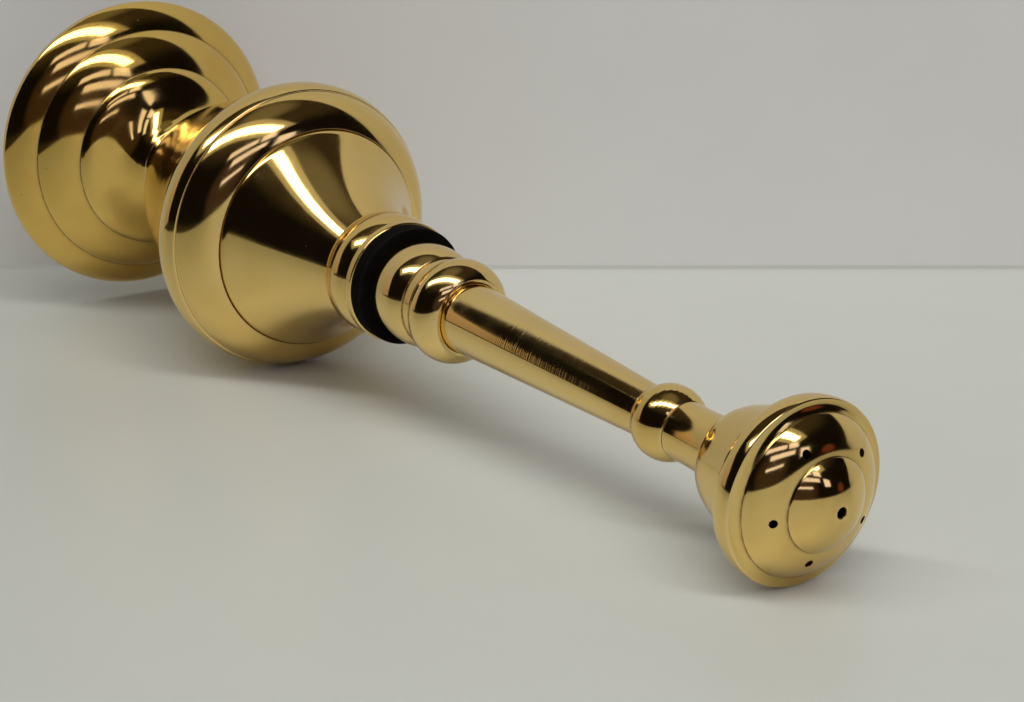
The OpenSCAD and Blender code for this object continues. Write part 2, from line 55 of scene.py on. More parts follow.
# How an outline is read from the frame
GRID = MICRON                   # corners in one cell of this size are one corner
RING_APART = 0.02 * MM          # circles closer than this are one circle
RING_GAP = math.radians(50)     # a whole circle has no wider gap between its corners
FOLD = -0.999                   # cosine of a turn straight back
CORNER = math.radians(14)       # a sharper turn of an outline is an edge
FINE = math.radians(2.5)        # turn of one step along a smooth outline
STRAIGHT = 2.5                  # a step this much longer than its neighbour is a straight line

# How its edges are rounded and worn, and its creases soiled and given painted shade
ROUND_EDGE = 0.22 * MM          # rounding of an outer edge
ROUND_CREASE = 0.09 * MM        # rounding of an inner corner
ROUND_SHARE = 0.35              # most that a rounding takes of the line beside it
FILLET_STEPS = 5                # steps of one rounding
SAME = 0.002 * MM               # points this close to the end of a line are left out
GUARDS = (0.03 * MM, 0.12 * MM, 0.3 * MM, 0.8 * MM)     # extra points near the ends of a long line
GUARD_SHARE = 0.45              # most that the guards take of a step
FULL_CORNER = math.radians(60)  # an edge that turns this far is worn, or a crease given its dirt and painted shade, in full
WEAR_REACH = 0.30 * MM          # how far the wear of an edge spreads
DIRT_AND_SHADE_REACH = 0.20 * MM          # how far the dirt and painted shade of a crease spread

# How a piece is turned from it
SEGMENTS = 160                  # steps round each turned piece
WELD = 0.1 * MICRON             # corners on the axis closer than this are joined
ON_WALL = 0.01 * MM             # a point this near to a wall's radius is on that wall
INWARD = -0.12                  # a face that leans this far to the axis is an inner one
GROUNDWARD = -0.8               # and so is one that looks this far down,
OUTWARD = 0.3                   # unless it leans out as far as this
INNER_INDEX, BORE_SHADE_INDEX = 1, 2  # places of these materials on a piece
LAYERS = ("run", "wear", "dirt_and_shade")    # what each corner of a piece knows about its outline


# Outlines

def unit(vector):
    return vector / max(np.linalg.norm(vector), TINY)


def lengths(points):
    """The way along a line at each of its points."""
    return np.concatenate(([0], np.cumsum(np.linalg.norm(np.diff(points, axis=0), axis=1))))


def corners_of(mesh):
    """The corners of a mesh, one in each row."""
    corners = np.empty(len(mesh.vertices) * 3)
    mesh.vertices.foreach_get("co", corners)
    return corners.reshape(-1, 3)


def rings_of(corners):
    """The circles about Z on which the corners lie, as (r, z), and the number of each corner's circle."""
    places = np.column_stack((np.hypot(corners[:, 0], corners[:, 1]), corners[:, 2]))
    cells, cell_of = np.unique(np.round(places / GRID).astype(int), axis=0, return_inverse=True)
    rings, ring_of_cell = [], []
    for cell in cells * GRID:
        near = [i for i, ring in enumerate(rings) if np.abs(cell - ring).max() < RING_APART]
        if not near:
            rings.append(cell)
        ring_of_cell.append(near[0] if near else len(rings) - 1)
    return rings, np.array(ring_of_cell)[cell_of.ravel()]


def whole_rings(corners, ring_of, count):
    """The numbers of the circles that have corners all the way round."""
    angle = np.arctan2(corners[:, 1], corners[:, 0])
    whole = set()
    for i in range(count):
        turn = np.sort(angle[ring_of == i])
        gap = np.diff(np.append(turn, turn[0] + FULL_TURN)).max()
        if gap < RING_GAP:
            whole.add(i)
    return whole


def ring_links(mesh, ring_of, whole):
    """For each whole circle, the circles that a wall joins to it."""
    triangles = np.empty(len(mesh.polygons) * 3, int)
    mesh.polygons.foreach_get("vertices", triangles)
    links = {i: set() for i in whole}
    for ends in {tuple(sorted(set(face))) for face in ring_of[triangles.reshape(-1, 3)].tolist()}:
        if len(ends) == 2 and whole.issuperset(ends):
            links[ends[0]].add(ends[1])
            links[ends[1]].add(ends[0])
    return links


def outline_of(node):
    """A turned CAD node's outline as (r, z) points that run anticlockwise, and if it is closed."""
    mesh = frame["nodes"][node].data
    corners = corners_of(mesh)
    rings, ring_of = rings_of(corners)
    links = ring_links(mesh, ring_of, whole_rings(corners, ring_of, len(rings)))
    ends = [i for i in links if len(links[i]) == 1]
    order = [min(ends or links)]
    while True:
        onward = [i for i in links[order[-1]] if i not in order]
        if not onward:
            break
        order.append(onward[0])
    points = np.array([rings[i] for i in order])
    closed = not ends
    if not closed:
        points = np.vstack(([0, points[0][1]], points, [0, points[-1][1]]))
    r, z = points.T
    if (r * np.roll(z, -1) - np.roll(r, -1) * z).sum() < 0:
        points = points[::-1]
    return points, closed


def unfolded(points):
    """An outline without the points at which it turns straight back."""
    ways_in, ways_out = points - np.roll(points, 1, axis=0), np.roll(points, -1, axis=0) - points
    return points[[unit(way_in) @ unit(way_out) > FOLD for way_in, way_out in zip(ways_in, ways_out)]]


def turns_of(points):
    """The angle by which a closed line turns at each point, above zero at an outer edge."""
    count = len(points)
    way = [unit(points[(i + 1) % count] - points[i]) for i in range(count)]
    return np.array([math.atan2(way[i - 1][0] * way[i][1] - way[i - 1][1] * way[i][0],
                                way[i - 1] @ way[i]) for i in range(count)])


def curve_run(points):
    """A smooth run between two edges, with more points where it bends."""
    step = np.diff(points, axis=0)
    size = np.linalg.norm(step, axis=1)
    way = step / size[:, None]
    tangent = np.empty_like(points)
    for i in range(1, len(points) - 1):
        before, after = size[i - 1], size[i]
        if before > STRAIGHT * after:
            tangent[i] = way[i - 1]
        elif after > STRAIGHT * before:
            tangent[i] = way[i]
        else:
            tangent[i] = unit(way[i - 1] * after + way[i] * before)
    if len(points) == 2:
        tangent[:] = way[0]
    else:
        tangent[0] = 2 * (way[0] @ tangent[1]) * way[0] - tangent[1]
        tangent[-1] = 2 * (way[-1] @ tangent[-2]) * way[-1] - tangent[-2]
    out = [points[0]]
    for i in range(len(points) - 1):
        bend = math.acos(min(1.0, max(-1.0, tangent[i] @ tangent[i + 1])))
        count = max(1, math.ceil(bend / FINE))
        for k in range(1, count + 1):
            t = k / count
            out.append((1 + 2 * t) * (1 - t) ** 2 * points[i] + t * (1 - t) ** 2 * size[i] * tangent[i]
                       + t * t * (3 - 2 * t) * points[i + 1] + t * t * (t - 1) * size[i] * tangent[i + 1])
    return np.array(out)


def trimmed(points, head, tail):
    """A line without its first and last stretch."""
    along = lengths(points)
    keep = (along > head + SAME) & (along < along[-1] - tail - SAME)
    ends = [[np.interp(s, along, points[:, k]) for k in (0, 1)] for s in (head, along[-1] - tail)]
    return np.vstack((ends[0], points[keep], ends[1]))


def guarded(points):
    """A line with extra points near its ends, which keep its shading, wear and dirt to the edges."""
    first, last = points[1] - points[0], points[-2] - points[-1]
    head = [points[0] + unit(first) * g for g in GUARDS if g < GUARD_SHARE * np.linalg.norm(first)]
    tail = [points[-1] + unit(last) * g for g in GUARDS[::-1] if g < GUARD_SHARE * np.linalg.norm(last)]
    return np.array([points[0], *head, *points[1:-1], *tail, points[-1]])


class Outline:
    """A turned piece's outline with its curves made smooth and its edges rounded."""

    def __init__(self, node):
        points, self.closed = outline_of(node)
        points = unfolded(points)
        count = len(points)
        turn = turns_of(points)
        edge = [i for i in range(count) if abs(turn[i]) > CORNER]
        if not self.closed:
            edge = sorted(set(edge) | {0, count - 1})
        next_edge = edge[1:] + ([edge[0] + count] if self.closed else [])
        runs = [curve_run(np.array([points[i % count] for i in range(start, end + 1)]))
                for start, end in zip(edge, next_edge)]
        corners = edge if self.closed else edge[:-1]
        cut = []
        for k, i in enumerate(corners):
            if not self.closed and k == 0:
                cut.append(0.0)
                continue
            limit = ROUND_SHARE * min(lengths(runs[k - 1])[-1], lengths(runs[k])[-1])
            cut.append(min(ROUND_EDGE if turn[i] > 0 else ROUND_CREASE, limit))
        # sharp marks edges for wear; dirt_and_shade marks creases for dirt and painted shade
        line, sharp, dirt_and_shade = [], [], []
        for k, i in enumerate(corners):
            tail = cut[(k + 1) % len(cut)] if self.closed or k + 1 < len(cut) else 0.0
            run = guarded(trimmed(runs[k], cut[k], tail) if cut[k] or tail else runs[k])
            if cut[k]:
                weight = min(1.0, abs(turn[i]) / FULL_CORNER)
                start = trimmed(runs[k - 1], 0.0, cut[k])[-1]
                for t in np.linspace(0, 1, FILLET_STEPS + 1)[1:-1]:
                    line.append((1 - t) ** 2 * start + 2 * t * (1 - t) * points[i] + t * t * run[0])
                    sharp.append(weight if turn[i] > 0 else 0.0)
                    dirt_and_shade.append(weight if turn[i] < 0 else 0.0)
            line.extend(run)
            sharp.extend([0.0] * len(run))
            dirt_and_shade.extend([0.0] * len(run))
        self.points, self.sharp, self.dirt_and_shade = np.array(line), np.array(sharp), np.array(dirt_and_shade)

    def densify(self, radius, step):
        """More points along the straight wall of that radius, for a thread."""
        points, sharp, dirt_and_shade = [], [], []
        count = len(self.points)
        for i in range(count):
            here, onward = self.points[i], self.points[(i + 1) % count]
            points.append(here)
            sharp.append(self.sharp[i])
            dirt_and_shade.append(self.dirt_and_shade[i])
            rise = abs(onward[1] - here[1])
            if max(abs(here[0] - radius), abs(onward[0] - radius)) < ON_WALL and rise > step:
                extra = np.linspace(0, 1, math.ceil(rise / step) + 1)[1:-1]
                points.extend(here + (onward - here) * t for t in extra)
                sharp.extend([0.0] * len(extra))
                dirt_and_shade.extend([0.0] * len(extra))
        self.points, self.sharp, self.dirt_and_shade = np.array(points), np.array(sharp), np.array(dirt_and_shade)

    def measures(self):
        """For each point: its way along the outline, its wear as an edge and its dirt and painted shade as
        a crease.
        """
        loop = np.vstack((self.points, self.points[:1])) if self.closed else self.points
        along = lengths(loop)
        total = along[-1] if self.closed else np.inf
        along = along[:len(self.points)]

        def spread(marks, reach):
            out = np.zeros(len(along))
            for place, mark in zip(along[marks > 0], marks[marks > 0]):
                gap = np.abs(along - place)
                out = np.maximum(out, mark * np.exp(-np.minimum(gap, total - gap) / reach))
            return out

        return along, spread(self.sharp, WEAR_REACH), spread(self.dirt_and_shade, DIRT_AND_SHADE_REACH)

    def normals(self):
        """The outward normal at each point."""
        points = self.points
        if self.closed:
            step = np.roll(points, -1, axis=0) - np.roll(points, 1, axis=0)
        else:
            step = np.gradient(points, axis=0)
        normal = np.column_stack((step[:, 1], -step[:, 0]))
        return normal / np.maximum(np.linalg.norm(normal, axis=1), TINY)[:, None]

    def least_radius(self, height):
        """The least radius at which the outline passes a height."""
        (r, z), (r_next, z_next) = self.points.T, np.roll(self.points, -1, axis=0).T
        across = (z - height) * (z_next - height) < 0
        share = (height - z[across]) / (z_next - z)[across]
        return (r[across] + (r_next - r)[across] * share).min()


# Meshes of the turned pieces

def turned_mesh(name, outline, shift=None):
    """The mesh of an outline turned about Z. shift(r, z, angle) moves the wall of a thread in or out."""
    angle = np.arange(SEGMENTS) * FULL_TURN / SEGMENTS
    r, z = outline.points[:, :1], outline.points[:, 1:]
    radius = r + (shift(r, z, angle[None, :]) if shift else 0 * angle[None, :])
    corners = np.stack((radius * np.cos(angle), radius * np.sin(angle), z + 0 * angle), axis=2)
    count = len(outline.points)
    faces = []
    for i in range(count if outline.closed else count - 1):
        low, high = i * SEGMENTS, (i + 1) % count * SEGMENTS
        for j in range(SEGMENTS):
            k = (j + 1) % SEGMENTS
            faces.append((low + j, low + k, high + k, high + j))
    mesh = bpy.data.meshes.new(name)
    mesh.from_pydata(corners.reshape(-1, 3).tolist(), [], faces)
    for label, values in zip(LAYERS, outline.measures()):
        layer = mesh.attributes.new(label, "FLOAT", "POINT")
        layer.data.foreach_set("value", np.repeat(values, SEGMENTS).astype(np.float32))
    if not outline.closed:
        weld = bmesh.new()
        weld.from_mesh(mesh)
        bmesh.ops.remove_doubles(weld, verts=weld.verts, dist=WELD)
        weld.to_mesh(mesh)
        weld.free()
    mesh.shade_smooth()
    return mesh


def set_inner(mesh):
    """The walls that look towards the axis or to the ground get the inner material."""
    for face in mesh.polygons:
        centre, normal = face.center, face.normal
        out = (centre.x * normal.x + centre.y * normal.y) / max(math.hypot(centre.x, centre.y), TINY)
        if out < INWARD or (normal.z < GROUNDWARD and out < OUTWARD):
            face.material_index = INNER_INDEX


def piece(node, mesh, slot, *materials):
    """The visual piece that takes the place of a CAD node."""
    made = bpy.data.objects.new(node + "_piece", mesh)
    bpy.context.scene.collection.objects.link(made)
    for material in materials:
        mesh.materials.append(material)
    body = next(b for b, nodes in frame["record"]["behaviour"]["bodies"].items() if node in nodes)
    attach(made, body)
    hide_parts(node)
    return made


# Node trees

MIX_FIRST, MIX_SECOND, MIX_RESULT = 6, 7, 2     # the mix node's sockets for colours


class Nodes:
    """Short calls to build a node tree."""

    def __init__(self, tree):
        self.tree = tree

    def add(self, kind, settings=None, **inputs):
        node = self.tree.nodes.new(kind)
        for key, value in (settings or {}).items():
            setattr(node, key, value)
        for key, value in inputs.items():
            self.feed(node.inputs[key.replace("_", " ")], value)
        return node

    def feed(self, socket, value):
        if isinstance(value, bpy.types.NodeSocket):
            self.tree.links.new(value, socket)
        else:
            socket.default_value = value

    def math(self, operation, first, second, clamp=False):
        node = self.add("ShaderNodeMath", {"operation": operation, "use_clamp": clamp})
        self.feed(node.inputs[0], first)
        self.feed(node.inputs[1], second)
        return node.outputs[0]

    def span(self, value, source, target=(0.0, 1.0)):
        """A value that goes smoothly from one end of the target to the other along the source range."""
        node = self.add("ShaderNodeMapRange", {"clamp": True, "interpolation_type": "SMOOTHSTEP"},
                        Value=value, From_Min=source[0], From_Max=source[1],
                        To_Min=target[0], To_Max=target[1])
        return node.outputs["Result"]

    def mix(self, share, first, second):
        node = self.add("ShaderNodeMix", {"data_type": "RGBA"}, Factor=share)
        self.feed(node.inputs[MIX_FIRST], first)
        self.feed(node.inputs[MIX_SECOND], second)
        return node.outputs[MIX_RESULT]

    def noise(self, scale, detail=2.0, roughness=0.5):
        node = self.add("ShaderNodeTexNoise", Vector=self.place(), Scale=scale, Detail=detail,
                        Roughness=roughness)
        return node.outputs["Fac"]

    def noise_along(self, way, scale, detail=2.0, roughness=0.5):
        """Noise that changes along an outline only, as the marks of a lathe do."""
        node = self.add("ShaderNodeTexNoise", {"noise_dimensions": "1D"}, W=way, Scale=scale,
                        Detail=detail, Roughness=roughness)
        return node.outputs["Fac"]

    def place(self):
        return self.add("ShaderNodeTexCoord").outputs["Object"]

    def along(self, vector, direction):
        """How far a vector reaches in a direction."""
        node = self.add("ShaderNodeVectorMath", {"operation": "DOT_PRODUCT"})
        self.feed(node.inputs[0], vector)
        self.feed(node.inputs[1], direction)
        return node.outputs["Value"]

    def layer(self, name):
        return self.add("ShaderNodeAttribute", {"attribute_name": name}).outputs["Fac"]

    def bump(self, height, distance, normal=None):
        node = self.add("ShaderNodeBump", Height=height, Distance=distance, Strength=1.0)
        if normal is not None:
            self.feed(node.inputs["Normal"], normal)
        return node.outputs["Normal"]

    def surface(self, **inputs):
        self.end(self.add("ShaderNodeBsdfPrincipled", **inputs))

    def end(self, shader):
        self.add("ShaderNodeOutputMaterial", Surface=shader.outputs[0])


def new_material(name):
    made = bpy.data.materials.new(name)
    made.use_nodes = True
    made.node_tree.nodes.clear()
    return made, Nodes(made.node_tree)


# Colours of the materials, most in two tones

BRASS = (0.84, 0.60, 0.215, 1)
BRASS_DEEP = (0.79, 0.54, 0.175, 1)
FOOT_BRASS = (0.81, 0.55, 0.155, 1)
FOOT_BRASS_DEEP = (0.76, 0.49, 0.125, 1)
PALE_BRASS = (0.85, 0.615, 0.24, 1)
PALE_BRASS_DEEP = (0.80, 0.555, 0.20, 1)
INNER_BRASS = (0.60, 0.40, 0.15, 1)
INNER_BRASS_DEEP = (0.42, 0.26, 0.09, 1)
FITTING_BRASS = (0.70, 0.49, 0.19, 1)
FITTING_BRASS_DEEP = (0.52, 0.34, 0.12, 1)
# painted shade: the bores of the rose's holes in near-black brass
BORE_SHADE_BRASS = (0.10, 0.06, 0.022, 1)
BORE_SHADE_BRASS_DEEP = (0.05, 0.028, 0.010, 1)
BRASS_WORN = (0.92, 0.70, 0.33, 1)
# dark brown of tarnished pits, and of the painted shade in creases
TARNISH_AND_SHADE = (0.10, 0.055, 0.02, 1)
BLACK = (0.002, 0.002, 0.002, 1)
BLACK_PALE = (0.005, 0.0045, 0.004, 1)
BLACK_WORN = (0.010, 0.009, 0.008, 1)
DUST = (0.10, 0.09, 0.07, 1)

# Ranges of noise, and what they become

TONES = (0.35, 0.7)                 # one tone of a colour turns into the other
FILM, FILM_ROUGH = (0.35, 0.75), (0.07, 0.12)       # film on polished brass, its roughness
MARK, MARK_ROUGH = (0.5, 0.8), (0.0, 0.02)          # fine turning marks, the roughness they add
GRIME_AND_SHADE, GRIME_AND_SHADE_SHARE = (0.25, 0.6), (0.30, 0.65)      # patches of grime and painted shade, their strength in a crease
DULL, DULL_ROUGH = (0.3, 0.75), (0.26, 0.42)        # unpolished brass, its roughness
TOOL, TOOL_ROUGH = (0.4, 0.7), (0.0, 0.08)          # tool marks, the roughness they add
MATT, MATT_ROUGH = (0.3, 0.7), (0.62, 0.80)         # rubber, its roughness
SHEET = (0.3, 0.7)                  # one tone of a stage sheet turns into the other

# Strengths of the marks on the materials

WORN_SHARE = 0.6                    # wear on brass edges
SOILED_AND_SHADED_SHARE = 0.85                 # dirt and painted shade in the creases of unpolished brass
PITTED_SHARE = 0.5                  # stain of a pit
STAIN_ROUGH = 0.25                  # roughness that the patches of crease dirt and shade, and the pits, add
RUBBED_SHARE = 0.5                  # wear on rubber edges
DUST_SHARE = 0.2                    # specks of dust
RUBBER_GLOSS = 0.03
SPECK_CORE = 0.4                    # share of a speck's size that is at full strength

# Depths of the marks on the materials

SPUN_MARKS, TURNED_MARKS, COMBED_MARKS = 1.2 * MICRON, 1.0 * MICRON, 0.4 * MICRON
SPUN_WAVES, TURNED_WAVES = 20 * MICRON, 10 * MICRON
COMB_DEPTH = 9 * MICRON             # coarse tool marks
COMB_START, COMB_FULL = 8 * MM, 26 * MM     # heights above the ferrule between which they set in
PIT_DEPTH = 6 * MICRON
TOOL_DEPTH = 9 * MICRON
DULL_GRAIN = 5 * MICRON
RUBBER_GRAIN = 22 * MICRON
SHEET_GRAIN = 8 * MICRON


# Materials, with scales in features per metre

def specks(nodes, scale, size, share):
    """Round specks in a share of the cells of a grid, 1 in the middle of a speck."""
    cells = nodes.add("ShaderNodeTexVoronoi", Vector=nodes.place(), Scale=scale, Randomness=1.0)
    draw = nodes.add("ShaderNodeSeparateColor", Color=cells.outputs["Color"]).outputs[0]
    chosen = nodes.math("LESS_THAN", draw, share)
    return nodes.math("MULTIPLY", nodes.span(cells.outputs["Distance"], (size, size * SPECK_CORE)), chosen)


def polished_brass(name, base, deep, marks, waves, comb=None):
    """Mirror-polished brass: marks is the depth of the fine turning marks, waves that of the spun wall's
    waviness, and comb the two heights between which coarse tool marks set in."""
    made, nodes = new_material(name)
    run = nodes.layer("run")
    cloud = nodes.noise(scale=38, detail=4, roughness=0.6)
    film = nodes.noise(scale=160, detail=5, roughness=0.65)
    fine = nodes.noise_along(run, scale=2600, detail=4, roughness=0.7)
    pits = specks(nodes, scale=430, size=0.12, share=0.05)
    # painted shade in the creases, in grime-like patches: partly dirt, partly shade
    patches = nodes.span(nodes.noise(scale=700, detail=3), GRIME_AND_SHADE, GRIME_AND_SHADE_SHARE)
    grime_and_shade = nodes.math("MULTIPLY", nodes.layer("dirt_and_shade"), patches, clamp=True)
    colour = nodes.mix(nodes.span(cloud, TONES), base, deep)
    colour = nodes.mix(nodes.math("MULTIPLY", nodes.layer("wear"), WORN_SHARE), colour, BRASS_WORN)
    colour = nodes.mix(nodes.math("MULTIPLY", pits, PITTED_SHARE), colour, TARNISH_AND_SHADE)
    colour = nodes.mix(grime_and_shade, colour, TARNISH_AND_SHADE)
    rough = nodes.math("ADD", nodes.span(film, FILM, FILM_ROUGH), nodes.span(fine, MARK, MARK_ROUGH))
    stain = nodes.math("MULTIPLY", nodes.math("MAXIMUM", grime_and_shade, pits), STAIN_ROUGH)
    rough = nodes.math("ADD", rough, stain, clamp=True)
    normal = nodes.bump(nodes.noise(scale=55, detail=1), waves)
    normal = nodes.bump(fine, marks, normal)
    if comb:
        share = nodes.span(nodes.along(nodes.place(), (0, 0, 1)), comb)
        coarse = nodes.noise_along(run, scale=2200, detail=1)
        normal = nodes.bump(nodes.math("MULTIPLY", coarse, share), COMB_DEPTH, normal)
    normal = nodes.bump(pits, -PIT_DEPTH, normal)
    nodes.surface(Base_Color=colour, Metallic=1.0, Roughness=rough, Normal=normal)
    return made


def dull_brass(name, base, deep):
    """Turned brass that was never polished: the inside of the shells, and the fittings."""
    made, nodes = new_material(name)
    cloud = nodes.noise(scale=90, detail=5, roughness=0.65)
    tool = nodes.noise_along(nodes.layer("run"), scale=1900, detail=3, roughness=0.6)
    colour = nodes.mix(nodes.span(cloud, TONES), base, deep)
    colour = nodes.mix(nodes.math("MULTIPLY", nodes.layer("wear"), WORN_SHARE), colour, BRASS)
    # dirt and painted shade in the creases
    colour = nodes.mix(nodes.math("MULTIPLY", nodes.layer("dirt_and_shade"), SOILED_AND_SHADED_SHARE), colour, TARNISH_AND_SHADE)
    rough = nodes.math("ADD", nodes.span(cloud, DULL, DULL_ROUGH), nodes.span(tool, TOOL, TOOL_ROUGH))
    normal = nodes.bump(tool, TOOL_DEPTH)
    normal = nodes.bump(nodes.noise(scale=2400, detail=3), DULL_GRAIN, normal)
    nodes.surface(Base_Color=colour, Metallic=1.0, Roughness=rough, Normal=normal)
    return made


def black_rubber():
    made, nodes = new_material("black_rubber")
    cloud = nodes.noise(scale=220, detail=5, roughness=0.65)
    dust = nodes.math("MULTIPLY", specks(nodes, scale=1500, size=0.2, share=0.10), DUST_SHARE)
    colour = nodes.mix(nodes.span(cloud, TONES), BLACK, BLACK_PALE)
    colour = nodes.mix(nodes.math("MULTIPLY", nodes.layer("wear"), RUBBED_SHARE), colour, BLACK_WORN)
    colour = nodes.mix(dust, colour, DUST)
    rough = nodes.span(cloud, MATT, MATT_ROUGH)
    normal = nodes.bump(nodes.noise(scale=2600, detail=3, roughness=0.6), RUBBER_GRAIN)
    nodes.surface(Base_Color=colour, Roughness=rough, Normal=normal, Specular_IOR_Level=RUBBER_GLOSS)
    return made


def stage_material(name, base, deep, left, fade, rough):
    """A pale matt sheet that shows and casts shadow from its front only, with another tone to the left: on
    the table a painted shade, on the wall a warmer colour of its own.
    """
    made, nodes = new_material(name)
    colour = nodes.mix(nodes.span(nodes.noise(scale=9, detail=4, roughness=0.6), SHEET), base, deep)
    # the left tone: painted shade on the table, the wall's own warmer colour on the wall
    colour = nodes.mix(nodes.span(nodes.along(nodes.place(), RIGHT), fade), colour, left)
    normal = nodes.bump(nodes.noise(scale=1800), SHEET_GRAIN)
    front = nodes.add("ShaderNodeBsdfPrincipled", Base_Color=colour, Roughness=rough, Normal=normal)
    back = nodes.add("ShaderNodeBsdfTransparent")
    both = nodes.add("ShaderNodeMixShader")
    nodes.feed(both.inputs[0], nodes.add("ShaderNodeNewGeometry").outputs["Backfacing"])
    nodes.feed(both.inputs[1], front.outputs[0])
    nodes.feed(both.inputs[2], back.outputs[0])
    nodes.end(both)
    return made


ferrule_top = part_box("ferrule")[1].z
SPUN = polished_brass("spun_brass", BRASS, BRASS_DEEP, SPUN_MARKS, SPUN_WAVES)
SPUN_FOOT = polished_brass("spun_foot_brass", FOOT_BRASS, FOOT_BRASS_DEEP, SPUN_MARKS, SPUN_WAVES)
TURNED = polished_brass("turned_brass", PALE_BRASS, PALE_BRASS_DEEP, TURNED_MARKS, TURNED_WAVES)
COMBED = polished_brass("combed_brass", PALE_BRASS, PALE_BRASS_DEEP, COMBED_MARKS, TURNED_WAVES,
                        comb=(ferrule_top + COMB_START, ferrule_top + COMB_FULL))
INNER = dull_brass("inner_brass", INNER_BRASS, INNER_BRASS_DEEP)
FITTING = dull_brass("fitting_brass", FITTING_BRASS, FITTING_BRASS_DEEP)
# the bores, darkened to near black as painted shade
BORE_SHADE = dull_brass("bore_shaded_brass", BORE_SHADE_BRASS, BORE_SHADE_BRASS_DEEP)
RUBBER = black_rubber()


# Threads

NECK_PITCH, HEAD_PITCH, ROD_PITCH = 2.0 * MM, 1.25 * MM, 0.8 * MM
NECK_DEPTH, HEAD_DEPTH, ROD_DEPTH = 0.85 * MM, 0.45 * MM, 0.35 * MM
THREAD_STEPS = 12               # points along one pitch
FLANK, FLAT = 1.4, 0.2          # steepness of a thread's flanks, and the flat of its crest and root


def screw(outline, radius, low, high, pitch, depth):
    """Readies an outline's wall of that radius for a right-hand thread between two heights, and gives
    the thread's shift. The depth is below zero for an outer thread."""
    outline.densify(radius, pitch / THREAD_STEPS)

    def shift(r, z, angle):
        turn = (z / pitch - angle / FULL_TURN) % 1.0
        form = np.clip(np.abs(2 * turn - 1) * FLANK - FLAT, 0, 1)
        fade = np.clip((z - low) / pitch, 0, 1) * np.clip((high - z) / pitch, 0, 1)
        return np.where(np.abs(r - radius) < ON_WALL, depth * form * fade, 0.0)

    return shift


def outer_thread(pitch, depth, low, high):
    """A thread on the widest wall of an outline."""
    return lambda outline: screw(outline, outline.points[:, 0].max(), low, high, pitch, -depth)


def inner_thread(pitch, depth, low, high):
    """A thread in the bore of an outline."""
    return lambda outline: screw(outline, outline.least_radius((low + high) / 2), low, high, pitch, depth)


# The turned pieces

def turned_piece(node, slot, material, inner=None, thread=None):
    """The visual piece of a turned node, with an inner material and a thread where it has them."""
    outline = Outline(node)
    shift = thread(outline) if thread else None
    mesh = turned_mesh(node, outline, shift)
    materials = [material]
    if inner:
        set_inner(mesh)
        materials.append(inner)
    piece(node, mesh, slot, *materials)


for name in ("foot", "stem"):
    turned_piece(name, "polished_brass", SPUN_FOOT, INNER)
for name in ("lower_bowl", "upper_bowl", "equator_band"):
    turned_piece(name, "polished_brass", SPUN, INNER)
turned_piece("ferrule", "polished_brass", TURNED, INNER)
turned_piece("shaft_tube", "polished_brass", COMBED, INNER)
turned_piece("head_cup", "polished_brass", SPUN, INNER)
for name in ("neck_gasket", "head_seal", "bowl_washer"):
    turned_piece(name, "black_rubber", RUBBER)
turned_piece("foot_washer", "fitting_brass", FITTING)

rod_low, rod_high = (end.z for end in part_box("tie_rod"))
turned_piece("tie_rod", "fitting_brass", FITTING,
             thread=outer_thread(ROD_PITCH, ROD_DEPTH, rod_low, rod_high))

gasket_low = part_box("neck_gasket")[0].z
neck_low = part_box("neck_nipple")[0].z
collar_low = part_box("upper_bowl")[1].z
turned_piece("neck_nipple", "fitting_brass", FITTING, INNER,
             outer_thread(NECK_PITCH, NECK_DEPTH, neck_low, gasket_low))
turned_piece("neck_collar", "polished_brass", SPUN, INNER,
             inner_thread(NECK_PITCH, NECK_DEPTH, collar_low, gasket_low))

seal_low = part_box("head_seal")[0].z
head_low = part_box("head_nipple")[0].z
ball_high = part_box("ball_socket")[1].z
turned_piece("head_nipple", "fitting_brass", FITTING, INNER,
             outer_thread(HEAD_PITCH, HEAD_DEPTH, head_low, seal_low))
turned_piece("ball_socket", "polished_brass", SPUN, INNER,
             inner_thread(HEAD_PITCH, HEAD_DEPTH, head_low, ball_high))


# The rose and its holes, placed as in the part's source

ROSE_HOLES = 5
ROSE_TURN = math.radians(8.4)       # turn of the first hole about Z
ROSE_TILT = math.radians(34.09)     # lean of a hole's axis, square to the dome
ROSE_RING = 11.25 * MM              # radius of the ring of holes on the dome
ROSE_HEIGHT = 272.605 * MM          # height of that ring
HOLE_R, MOUTH_R = 0.75 * MM, 0.84 * MM
HOLE_STEPS = 28                     # steps round a hole
ALIKE = 0.8                         # a smooth normal that differs more from its face is not used
# Heights of the drill over the dome: tip, start and end of the countersink, and top
DRILL_TIP, SINK_LOW, SINK_HIGH, DRILL_TOP = -4 * MM, -0.05 * MM, 0.45 * MM, 3 * MM


def add_drill(mesh, turn):
    """Adds a drill with a countersink to a mesh, set square to the dome."""
    ring = Matrix.Translation((ROSE_RING, 0, ROSE_HEIGHT))
    axis = Matrix.Rotation(turn, 4, "Z") @ ring @ Matrix.Rotation(ROSE_TILT, 4, "Y")
    form = (HOLE_R, DRILL_TIP), (HOLE_R, SINK_LOW), (MOUTH_R, SINK_HIGH), (MOUTH_R, DRILL_TOP)
    rows = []
    for radius, height in form:
        rows.append([mesh.verts.new(axis @ Vector((radius * math.cos(a), radius * math.sin(a), height)))
                     for a in np.arange(HOLE_STEPS) * FULL_TURN / HOLE_STEPS])
    for low, high in zip(rows, rows[1:]):
        for j in range(HOLE_STEPS):
            k = (j + 1) % HOLE_STEPS
            mesh.faces.new((low[j], low[k], high[k], high[j]))
    mesh.faces.new(rows[0][::-1])
    mesh.faces.new(rows[-1])


